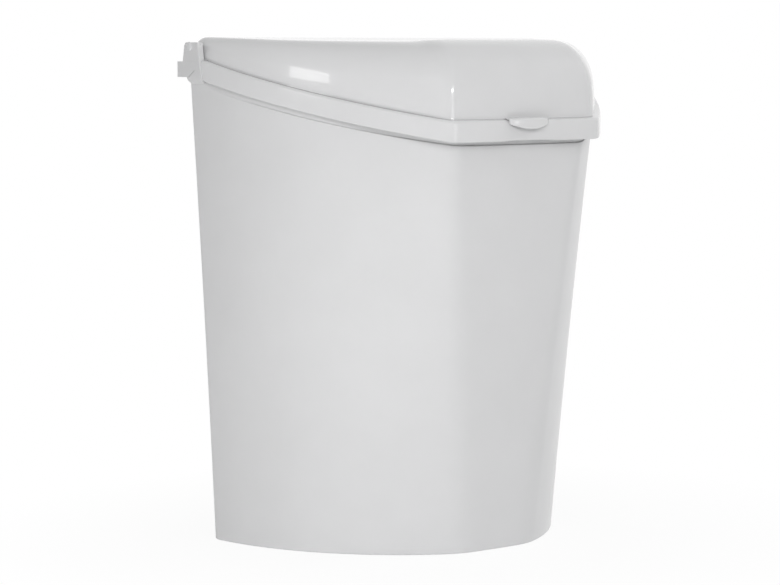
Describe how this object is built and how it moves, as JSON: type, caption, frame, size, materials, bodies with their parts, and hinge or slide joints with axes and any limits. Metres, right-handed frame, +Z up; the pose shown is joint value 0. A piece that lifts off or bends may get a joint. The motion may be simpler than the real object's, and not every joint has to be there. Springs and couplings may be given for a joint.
{
  "type": "wall-hung door bin with hinged lid",
  "caption": "Tapered door bin with a flat back and bowed front, two hinge ears, a clip-on sloping rim frame, a domed lid on two pins and a wall rail.",
  "frame": {"origin": "on the floor under the middle of the whole object's footprint", "axes": "+Z up, X along the flat back and the hinge axis, -Y to the front facet and the finger lip"},
  "size_m": [0.2872, 0.1848, 0.3278],
  "materials": {
    "bucket_plastic": "satin moulded light grey",
    "frame_plastic": "glossy moulded light grey",
    "lid_plastic": "glossy moulded light grey",
    "pin_plastic": "glossy moulded light grey",
    "rail_plastic": "satin moulded light grey"
  },
  "bodies": {
    "bucket": {"bucket": "bucket_plastic", "rim_frame": "frame_plastic", "hinge_pin_left": "pin_plastic", "hinge_pin_right": "pin_plastic"},
    "lid": {"lid": "lid_plastic"},
    "wall_rail": {"wall_rail": "rail_plastic"}
  },
  "joints": [
    {"name": "lid_hinge", "type": "hinge", "parent": "bucket", "child": "lid", "pos_m": [0, 0.07854, 0.3217], "axis": [-1, 0, 0], "range_deg": [0, 90]},
    {"name": "rail_release", "type": "slide", "parent": "bucket", "child": "wall_rail", "axis": [0, 1, 0], "range_m": [0, 0.02]}
  ]
}
